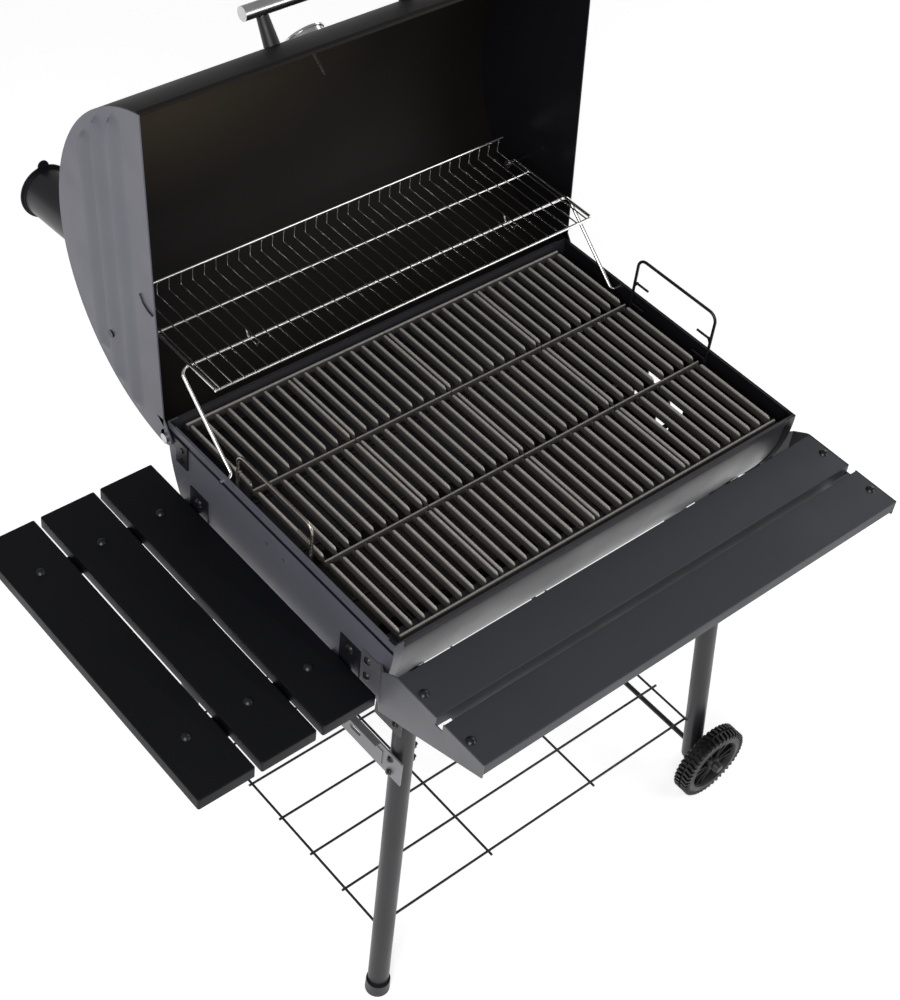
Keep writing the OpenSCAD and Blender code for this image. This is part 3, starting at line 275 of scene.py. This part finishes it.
# Height band above the deck over which the grate's painted crest highlight fades in over its painted flank shade.
CREST = (0.0095, 0.0125)
LOOKS = {
    "tub_black": (powder_coat, (0.030, 0.030, 0.036), 0.36, 0.08),
    # panel_grey and panel_dark are one paint: panel_grey's much lighter base colour is painted light, standing in
    # for the reflection on the left-facing ends.
    "panel_grey": (powder_coat, (0.105, 0.106, 0.130), 0.40, 0.06),
    "panel_dark": (powder_coat, (0.007, 0.007, 0.009), 0.36, 0.18, 0.25),
    "sheet_black": (powder_coat, (0.010, 0.010, 0.014), 0.34),
    "lid_black": (lid_inside,),
    "pan_steel": (powder_coat, (0.05, 0.045, 0.04), 0.6, 0.4),
    "grate_iron": (cast_iron, (0.075, 0.067, 0.061), (0.130, 0.117, 0.106), 0.32, CREST),
    "fire_iron": (cast_iron, (0.012, 0.011, 0.010), (0.026, 0.022, 0.020), 0.6),
    "lifter_steel": (bare_metal, (0.42, 0.38, 0.34), 0.28),
    "wire_black": (powder_coat, (0.008, 0.008, 0.009), 0.34),
    "handle_steel": (bare_metal, (0.60, 0.60, 0.61), 0.26),
    "gauge_steel": (bare_metal, (0.62, 0.62, 0.63), 0.22),
    "pin_steel": (bare_metal, (0.55, 0.55, 0.57), 0.25),
    "washer_steel": (bare_metal, (0.50, 0.50, 0.52), 0.30),
    "rack_chrome": (bare_metal, (0.80, 0.79, 0.77), 0.16),
    "fastener_black": (powder_coat, (0.006, 0.006, 0.007), 0.28),
    "leg_grey": (powder_coat, (0.011, 0.011, 0.0135), 0.34, 0.18, 0.42),
    "brace_grey": (powder_coat, (0.17, 0.17, 0.18), 0.42),
    # The two shelves have the same paint: front_shelf_grey is set lighter as painted reflection of the lights,
    # side_shelf_black darker as painted shade.
    "front_shelf_grey": (powder_coat, (0.034, 0.037, 0.044), 0.48, 0.06, 0.4),
    "bracket_grey": (powder_coat, (0.085, 0.086, 0.096), 0.44),
    "side_shelf_black": (powder_coat, (0.0042, 0.0046, 0.0064), 0.46, 0.08, 0.18),
    "wheel_plastic": (moulded, (0.0022, 0.0022, 0.0026), 0.46),
    "plastic_black": (moulded, (0.012, 0.012, 0.013), 0.45),
}
MATERIALS = {slot: maker(slot, *values) for slot, (maker, *values) in LOOKS.items()}


# ---- CAD nodes: material, welding and shading ----

WELD_GAP = 0.000004
SHARP_ANGLE = math.radians(33)
PAN_EDGE = 0.0005


def edge_setup():
    """Geometry-node group that welds a CAD mesh and shades it smooth below an angle."""
    group = bpy.data.node_groups.new("weld_and_shade", "GeometryNodeTree")
    group.interface.new_socket("Geometry", in_out="INPUT", socket_type="NodeSocketGeometry")
    group.interface.new_socket("Geometry", in_out="OUTPUT", socket_type="NodeSocketGeometry")
    n = group.nodes
    start, end = n.new("NodeGroupInput"), n.new("NodeGroupOutput")
    drop = n.new("GeometryNodeRemoveAttribute")
    drop.inputs["Name"].default_value = "custom_normal"
    weld = n.new("GeometryNodeMergeByDistance")
    weld.inputs["Distance"].default_value = WELD_GAP
    angle = n.new("GeometryNodeInputMeshEdgeAngle")
    sharp = n.new("FunctionNodeCompare")
    sharp.data_type = "FLOAT"
    sharp.operation = "GREATER_THAN"
    sharp.inputs["B"].default_value = SHARP_ANGLE
    flat = n.new("GeometryNodeSetShadeSmooth")
    flat.domain = "EDGE"
    flat.inputs["Shade Smooth"].default_value = False
    faces = n.new("GeometryNodeSetShadeSmooth")
    faces.domain = "FACE"
    faces.inputs["Shade Smooth"].default_value = True
    every = n.new("GeometryNodeSetShadeSmooth")
    every.domain = "EDGE"
    every.inputs["Shade Smooth"].default_value = True
    link = group.links.new
    link(start.outputs[0], drop.inputs["Geometry"])
    link(drop.outputs[0], weld.inputs["Geometry"])
    link(weld.outputs[0], faces.inputs["Geometry"])
    link(faces.outputs[0], every.inputs["Geometry"])
    link(every.outputs[0], flat.inputs["Geometry"])
    link(angle.outputs["Unsigned Angle"], sharp.inputs["A"])
    link(sharp.outputs["Result"], flat.inputs["Selection"])
    link(flat.outputs[0], end.inputs[0])
    return group


def soften(obj, width):
    """Rounds a CAD node's sharp edges for the render."""
    bevel = obj.modifiers.new("edge", "BEVEL")
    bevel.width = width
    bevel.segments = 2
    bevel.limit_method = "ANGLE"
    bevel.angle_limit = math.radians(40)
    bevel.use_clamp_overlap = True
    bevel.harden_normals = False


def dress_cad():
    """Gives every CAD node its slot's material and clean shading."""
    shading = edge_setup()
    slots = {s["node"]: s["material_slot"] for s in frame["record"]["subparts"]}
    for name, obj in cad.items():
        obj.data.materials.clear()
        obj.data.materials.append(MATERIALS[slots[name]])
        weld = obj.modifiers.new("weld", "NODES")
        weld.node_group = shading
    soften(cad["ash_pan"], PAN_EDGE)


# ---- Mesh tools ----

def piece(name, bm, slot, body, replaces, smooth_angle):
    """Turns a bmesh into a named piece that rides a body and may stand for CAD nodes."""
    mesh = bpy.data.meshes.new(name)
    bmesh.ops.recalc_face_normals(bm, faces=bm.faces)
    bm.to_mesh(mesh)
    bm.free()
    mesh.shade_smooth()
    mesh.set_sharp_from_angle(angle=math.radians(smooth_angle))
    obj = bpy.data.objects.new(name, mesh)
    scene.collection.objects.link(obj)
    mesh.materials.append(MATERIALS[slot])
    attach(obj, body)
    if replaces:
        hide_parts(*replaces)


def loft(bm, rings, closed_ends=True):
    """Skins a list of equal-length point rings."""
    rows = [[bm.verts.new(p) for p in ring] for ring in rings]
    n = len(rows[0])
    for a, b in zip(rows, rows[1:]):
        for i in range(n):
            bm.faces.new((a[i], a[(i + 1) % n], b[(i + 1) % n], b[i]))
    if closed_ends:
        bm.faces.new(rows[0][::-1])
        bm.faces.new(rows[-1])
    return rows


def ease(t):
    """Smooth step from 0 to 1, held at both ends."""
    t = min(1.0, max(0.0, t))
    return t * t * (3 - 2 * t)


def quarter(steps):
    """Angles that step through a right angle."""
    return [math.pi / 2 * k / steps for k in range(steps + 1)]


# ---- Folded sheet planks ----

SHEET = 0.0015
FOLD = 0.0022
FOLD_STEPS = 5
TRAY_CORNER = 0.003
GAP_SKIRT = 0.024
SKIRT_START = 0.024
SKIRT_RAMP = 0.010
PLANK_STATIONS = 64


def open_plank(node):
    """Front plank, open at its ends, with skirts that run deeper beside the gaps between the brackets."""
    lo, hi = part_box(node)
    front_z = lo.z - (GAP_SKIRT if node.endswith("inner") else 0.0)
    rear_z = lo.z - GAP_SKIRT
    r = FOLD - SHEET
    bend = quarter(FOLD_STEPS)
    outer = [(lo.y, front_z)]
    outer += [(lo.y + FOLD - FOLD * math.cos(t), hi.z - FOLD + FOLD * math.sin(t)) for t in bend]
    outer += [(hi.y - FOLD + FOLD * math.sin(t), hi.z - FOLD + FOLD * math.cos(t)) for t in bend]
    outer.append((hi.y, rear_z))
    inner = [(hi.y - SHEET, rear_z)]
    inner += [(hi.y - FOLD + r * math.cos(t), hi.z - FOLD + r * math.sin(t)) for t in bend]
    inner += [(lo.y + FOLD - r * math.sin(t), hi.z - FOLD + r * math.cos(t)) for t in bend]
    inner.append((lo.y + SHEET, front_z))
    section = outer + inner
    rings = []
    for i in range(PLANK_STATIONS + 1):
        x = lo.x + (hi.x - lo.x) * i / PLANK_STATIONS
        deep = ease((min(x - lo.x, hi.x - x) - SKIRT_START) / SKIRT_RAMP)
        rings.append([(x, y, z + (lo.z - z) * (1 - deep) if z < lo.z else z) for y, z in section])
    bm = bmesh.new()
    rows = loft(bm, rings, closed_ends=False)
    half = len(outer)
    for row in (rows[0], rows[-1]):
        for k in range(half - 1):
            bm.faces.new((row[k], row[k + 1], row[2 * half - 2 - k], row[2 * half - 1 - k]))
    # front_shelf_grey's lighter colour is painted reflection; the side shelf has the same paint.
    piece(node + "_sheet", bm, "front_shelf_grey", "cart", (node,), 40)


def tray_ring(lo, hi, inset, z, steps=4):
    """Rounded rectangle at height z, set in from the plank's outline."""
    x0, x1, y0, y1 = lo.x + inset, hi.x - inset, lo.y + inset, hi.y - inset
    r = max(TRAY_CORNER - inset, 0.0004)
    corners = ((x1 - r, y1 - r, 0), (x0 + r, y1 - r, 90), (x0 + r, y0 + r, 180), (x1 - r, y0 + r, 270))
    pts = []
    for cx, cy, start in corners:
        for k in range(steps + 1):
            t = math.radians(start + 90 * k / steps)
            pts.append((cx + r * math.cos(t), cy + r * math.sin(t), z))
    return pts


def closed_plank(node):
    """Side plank: a shallow tray upside down, from the skirt's edge over the folds to the top."""
    lo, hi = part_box(node)
    levels = [(SHEET, lo.z), (0.0, lo.z), (0.0, hi.z - FOLD)]
    levels += [(FOLD - FOLD * math.cos(t), hi.z - FOLD + FOLD * math.sin(t)) for t in quarter(FOLD_STEPS)[1:]]
    bm = bmesh.new()
    rows = loft(bm, [tray_ring(lo, hi, inset, z) for inset, z in levels], closed_ends=False)
    bm.faces.new(rows[-1])
    lining = [tray_ring(lo, hi, SHEET, z) for z in (lo.z, hi.z - SHEET)]
    under = loft(bm, lining, closed_ends=False)
    bm.faces.new(under[-1][::-1])
    bmesh.ops.remove_doubles(bm, verts=bm.verts, dist=0.00001)
    # side_shelf_black's near-black colour is painted shade; the front shelf has the same paint.
    piece(node + "_sheet", bm, "side_shelf_black", "cart", (node,), 40)


def planks():
    for place in ("inner", "outer"):
        open_plank("front_shelf_plank_" + place)
    for place in ("inner", "middle", "outer"):
        closed_plank("side_shelf_plank_" + place)


# ---- Lid end panels with pressed ribs ----

LID_R = 0.273
LID_DOWN = Vector((-0.255, -0.035))
RIM_UP = 0.0036
OPEN_ANGLE = math.radians(95)
PANEL_HALF_SPAN = 0.400
PANEL_SHEET = 0.002
PANEL_ROWS = 170
PANEL_COLUMNS = 96
RIB_RISE = 0.0058
RIB_WIDTH = 0.032
RIB_FADE = 0.045
RIB_HOOK = 0.016
GROOVE_DEPTH = 0.0012
GROOVE_WIDTH = 0.0030
EDGE_FLAT = 0.004
EAR_RADIUS = 0.013


def opened(y, z):
    """A point of the closed lid, given from the hinge, in the stored open pose."""
    hinge = joint["lid_hinge"]["pos_m"]
    c, s = math.cos(OPEN_ANGLE), math.sin(OPEN_ANGLE)
    return hinge[1] + y * c + z * s, hinge[2] - y * s + z * c


RIBS = ((0.079, 0.244), (0.120, 0.224), (0.156, 0.186))


def rib_height(a, u):
    """Pressed rib: rises softly away from the rim and drops into a narrow groove at its crease."""
    h = 0.0
    for crease, half in RIBS:
        over = (abs(a) - (half - RIB_FADE)) / RIB_FADE
        if over >= 1.0:
            continue
        bend = max(0.0, over)
        line = crease - RIB_HOOK * bend * bend
        width = RIB_WIDTH * math.sqrt(1.0 - bend * bend * 0.98)
        end = ease((1.0 - bend) / 0.35)
        if line - width < u <= line:
            h = RIB_RISE * ease((u - line + width) / width) * end
        elif line < u <= line + GROOVE_WIDTH:
            h = -GROOVE_DEPTH * end * math.sin(math.pi * (u - line) / GROOVE_WIDTH)
    return h


def ear(bm, face, back):
    """Flat ear that carries the hinge pin: a round end and a tail that reaches the panel."""
    outline = []
    for k in range(25):
        t = math.radians(-100 + 280 * k / 24)
        outline.append((EAR_RADIUS * math.cos(t), EAR_RADIUS * math.sin(t)))
    outline += [(-0.030, 0.020), (-0.030, 0.004), (-0.008, -0.010)]
    front = [bm.verts.new((face, *opened(y, z))) for y, z in outline]
    rear = [bm.verts.new((back, *opened(y, z))) for y, z in outline]
    n = len(outline)
    bm.faces.new(front)
    bm.faces.new(rear[::-1])
    for k in range(n):
        bm.faces.new((front[k], rear[k], rear[(k + 1) % n], front[(k + 1) % n]))


def lid_panel(side):
    """One end of the lid: a circle's segment with three pressed ribs, and the hinge ear."""
    lo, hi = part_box("lid_shell")
    face = (lo.x + hi.x) / 2 + side * PANEL_HALF_SPAN
    back = face - side * PANEL_SHEET
    bm = bmesh.new()
    span = LID_R + LID_DOWN.y - RIM_UP
    heights = [span * i / PANEL_ROWS for i in range(PANEL_ROWS)] + [span - 0.0002]
    grid = []
    for u in heights:
        b = u + RIM_UP - LID_DOWN.y
        half = math.sqrt(max(LID_R ** 2 - b * b, 1e-8))
        row = []
        for k in range(PANEL_COLUMNS + 1):
            a = (-1.0 + 2.0 * k / PANEL_COLUMNS) * half
            y, z = opened(LID_DOWN.x + a, u + RIM_UP)
            edge = min(1.0, (half - abs(a)) / EDGE_FLAT, (LID_R - math.hypot(a, b)) / EDGE_FLAT)
            row.append(bm.verts.new((face + side * rib_height(a, u) * ease(edge), y, z)))
        grid.append(row)
    for r0, r1 in zip(grid, grid[1:]):
        for k in range(PANEL_COLUMNS):
            bm.faces.new((r0[k], r0[k + 1], r1[k + 1], r1[k]))
    rim = grid[0] + [r[-1] for r in grid[1:]] + grid[-1][-2::-1] + [r[0] for r in grid[-2:0:-1]]
    # Sheet edge, turned back to the inner face.
    inner = [bm.verts.new((back, v.co.y, v.co.z)) for v in rim]
    n = len(rim)
    for k in range(n):
        bm.faces.new((rim[k], rim[(k + 1) % n], inner[(k + 1) % n], inner[k]))
    bm.faces.new(inner)
    ear(bm, face, back)
    node = "lid_end_left" if side < 0 else "lid_end_right"
    # The left end takes panel_grey, whose lighter colour is painted reflection; both ends have the same paint.
    slot = "panel_grey" if side < 0 else "panel_dark"
    piece(node + "_pressing", bm, slot, "lid", (node,), 50)


# ---- Rolled top edge of the tub's ends ----

ROLL_DEEP = 0.0056
ROLL_TALL = 0.017
ROLL_STATIONS = 40


def rim_roll(side):
    """Soft roll along an end cap's top edge, curling in over the sheet's edge."""
    lo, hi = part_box("tub_end_left" if side < 0 else "tub_end_right")
    face = lo.x if side < 0 else hi.x
    low = hi.z - ROLL_TALL
    bend = quarter(10)
    profile = []
    for t in bend:
        inward = 0.0004 - ROLL_DEEP * (1 - math.cos(t))
        profile.append((face + side * inward, low + (ROLL_TALL + 0.0003) * math.sin(t)))
    for t in reversed(bend):
        inward = 0.0001 - ROLL_DEEP * (1 - math.cos(t)) * 0.86
        profile.append((face + side * inward, low + (ROLL_TALL - 0.0011) * math.sin(t)))
    start, length = lo.y + 0.0012, hi.y - lo.y - 0.0024
    ys = [start + length * i / ROLL_STATIONS for i in range(ROLL_STATIONS + 1)]
    bm = bmesh.new()
    loft(bm, [[(x, y, z) for x, z in profile] for y in ys])
    name = "rim_roll_left" if side < 0 else "rim_roll_right"
    piece(name, bm, "panel_dark", "cart", (), 50)


# ---- Cooking grates ----

GRATE_BARS = 9
BAR_WIDTH = 0.0066
BAR_MARGIN = 0.001
CROSS_Y = 0.083
CROSS_WIDTH = 0.0068
NOTCH = 0.0060
END_WIDTH = 0.0095
END_INSET = 0.005
RUN_INSET = 0.009
WEB_INSET = 0.004


def bar_profile(width, height):
    """Half-rounded crest over sides that lean out, then in towards the base."""
    w = width / 2
    crest = w * 0.46
    pts = [(-w * 0.80, 0.0), (-w, height * 0.42)]
    for k in range(7):
        t = math.pi * (1 - k / 6)
        pts.append((crest * math.cos(t), height - crest + crest * math.sin(t)))
    pts += [(w, height * 0.42), (w * 0.80, 0.0)]
    return pts


def bar_run(bm, x, y0, y1, z0, height):
    """One bar between two cross members, its ends rounded down."""
    tips = [(0.0, 0.35, 0.45), (0.0015, 0.66, 0.74), (0.0035, 0.86, 0.90), (0.006, 1.0, 1.0)]
    stations = [(y0 + d, wide, high) for d, wide, high in tips]
    stations += [(y0 + (y1 - y0) * i / 6, 1.0, 1.0) for i in range(1, 6)]
    stations += [(y1 - d, wide, high) for d, wide, high in reversed(tips)]
    rings = []
    for y, wide, high in stations:
        rings.append([(x + a, y, z0 + b) for a, b in bar_profile(BAR_WIDTH * wide, height * high)])
    loft(bm, rings)


def web_run(bm, x, ys, z0, height):
    """Lower web that joins a bar's runs through the cross members."""
    loft(bm, [[(x + a, y, z0 + b) for a, b in bar_profile(BAR_WIDTH * 0.66, height)] for y in ys])


def cross_run(bm, x0, x1, y, z0, width, height):
    """Cross member or end rail along X."""
    section = bar_profile(width, height)
    loft(bm, [[(x, y + a, z0 + b) for a, b in section] for x in (x0, (x0 + x1) / 2, x1)])


def grate(index):
    """Cast cooking grate: nine bars in three runs, two cross members and two end rails."""
    node = "cooking_grate_%d" % index
    lo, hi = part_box(node)
    z0, top = lo.z, hi.z - lo.z
    mid_y = (lo.y + hi.y) / 2
    near, far = mid_y - CROSS_Y, mid_y + CROSS_Y
    runs = ((lo.y + RUN_INSET, near - NOTCH), (near + NOTCH, far - NOTCH), (far + NOTCH, hi.y - RUN_INSET))
    pitch = (hi.x - lo.x - BAR_WIDTH - 2 * BAR_MARGIN) / (GRATE_BARS - 1)
    bm = bmesh.new()
    for n in range(GRATE_BARS):
        x = lo.x + BAR_MARGIN + BAR_WIDTH / 2 + n * pitch
        for y0, y1 in runs:
            bar_run(bm, x, y0, y1, z0, top)
        web_run(bm, x, (lo.y + WEB_INSET, mid_y, hi.y - WEB_INSET), z0, top * 0.50)
    for y in (near, far):
        cross_run(bm, lo.x + 0.0005, hi.x - 0.0005, y, z0, CROSS_WIDTH, top * 0.80)
    for y in (lo.y + END_INSET, hi.y - END_INSET):
        cross_run(bm, lo.x, hi.x, y, z0, END_WIDTH, top * 0.86)
    piece("casting_%d" % index, bm, "grate_iron", "grate_%d" % index, (node,), 50)


# ---- Wheels ----

WHEEL_TURNS = 72
TREAD_LUGS = 44
TREAD_DEPTH = 0.0042
DISC_RIBS = 6


def wheel_section(radius, h):
    """Hub, dished disc, rim, sidewalls and tread base, as radius and width from the wheel's middle."""
    base = radius - TREAD_DEPTH
    hub_back = [(0.0056, -h * 0.92), (0.011, -h * 0.95), (0.0125, -h * 0.6), (0.0125, -0.003)]
    wall_back = [(radius - 0.0245, -0.003), (radius - 0.0225, -h * 0.78), (radius - 0.020, -h * 0.93),
                 (radius - 0.012, -h * 0.96)]
    tread = [(base - 0.0030, -h * 0.90), (base, -h * 0.70), (base, h * 0.70), (base - 0.0030, h * 0.90)]
    wall_front = [(radius - 0.012, h * 0.97), (radius - 0.0155, h * 0.93), (radius - 0.0175, h * 0.99),
                  (radius - 0.0205, h * 0.97), (radius - 0.0225, h * 0.80), (radius - 0.0245, 0.004)]
    hub_front = [(0.0135, 0.004), (0.0125, h * 0.75), (0.0105, h * 0.90), (0.0056, h * 0.92)]
    return hub_back + wall_back + tread + wall_front + hub_front


def wheel(which):
    """Moulded wheel: a section turned about the axle, tread lugs, shoulder nibs and disc ribs."""
    node = "wheel_" + which
    lo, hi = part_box(node)
    middle = (lo + hi) / 2
    radius, h = (hi.z - lo.z) / 2, (hi.y - lo.y) / 2
    base = radius - TREAD_DEPTH
    out = -1 if which == "front" else 1
    bm = bmesh.new()

    def at(r, angle, w):
        return (middle.x + r * math.cos(angle), middle.y + out * w, middle.z + r * math.sin(angle))

    def block(r0, r1, t0, t1, w0, w1, lean=0.0):
        """Tapered block between two radii, two angles and two widths, sheared by lean."""
        ends = []
        for r, shrink in ((r0, 0.0), (r1, 0.14)):
            dt = (t1 - t0) * shrink
            dw = (w1 - w0) * shrink * 0.5
            low = [(t0 + dt, w0 + dw), (t1 - dt, w0 + dw)]
            high = [(t1 - dt + lean, w1 - dw), (t0 + dt + lean, w1 - dw)]
            ends.append([bm.verts.new(at(r, t, w)) for t, w in low + high])
        a, b = ends
        bm.faces.new(a[::-1])
        bm.faces.new(b)
        for k in range(4):
            bm.faces.new((a[k], a[(k + 1) % 4], b[(k + 1) % 4], b[k]))

    section = wheel_section(radius, h)
    rings = []
    for i in range(WHEEL_TURNS):
        t = 2 * math.pi * i / WHEEL_TURNS
        rings.append([bm.verts.new(at(r, t, w)) for r, w in section])
    for i in range(WHEEL_TURNS):
        a, b = rings[i], rings[(i + 1) % WHEEL_TURNS]
        for k in range(len(section)):
            j = (k + 1) % len(section)
            bm.faces.new((a[k], a[j], b[j], b[k]))
    step = 2 * math.pi / TREAD_LUGS
    for i in range(TREAD_LUGS):
        t = i * step
        block(base - 0.003, radius, t, t + step * 0.56, h * 0.06, h * 0.90, step * 0.25)
        block(base - 0.003, radius, t + step * 0.5, t + step * 1.06, -h * 0.90, -h * 0.06, -step * 0.25)
        # Shoulder nib that runs down the outer sidewall.
        block(radius - 0.0105, base + 0.001, t + step * 0.25, t + step * 0.72, h * 0.80, h * 1.0)
    # Ribs in pairs on the disc's outer face.
    for i in range(DISC_RIBS):
        for side in (-1, 1):
            t = 2 * math.pi * i / DISC_RIBS + side * 0.16
            block(0.0115, radius - 0.0228, t - 0.035, t + 0.035, 0.0035, h * 0.62)
    piece("tyre_and_hub_" + which, bm, "wheel_plastic", node, (node,), 40)


camera()
studio()
dress_cad()
planks()
for end in (-1, 1):
    lid_panel(end)
    rim_roll(end)
for number in range(1, 5):
    grate(number)
wheel("front")
wheel("rear")
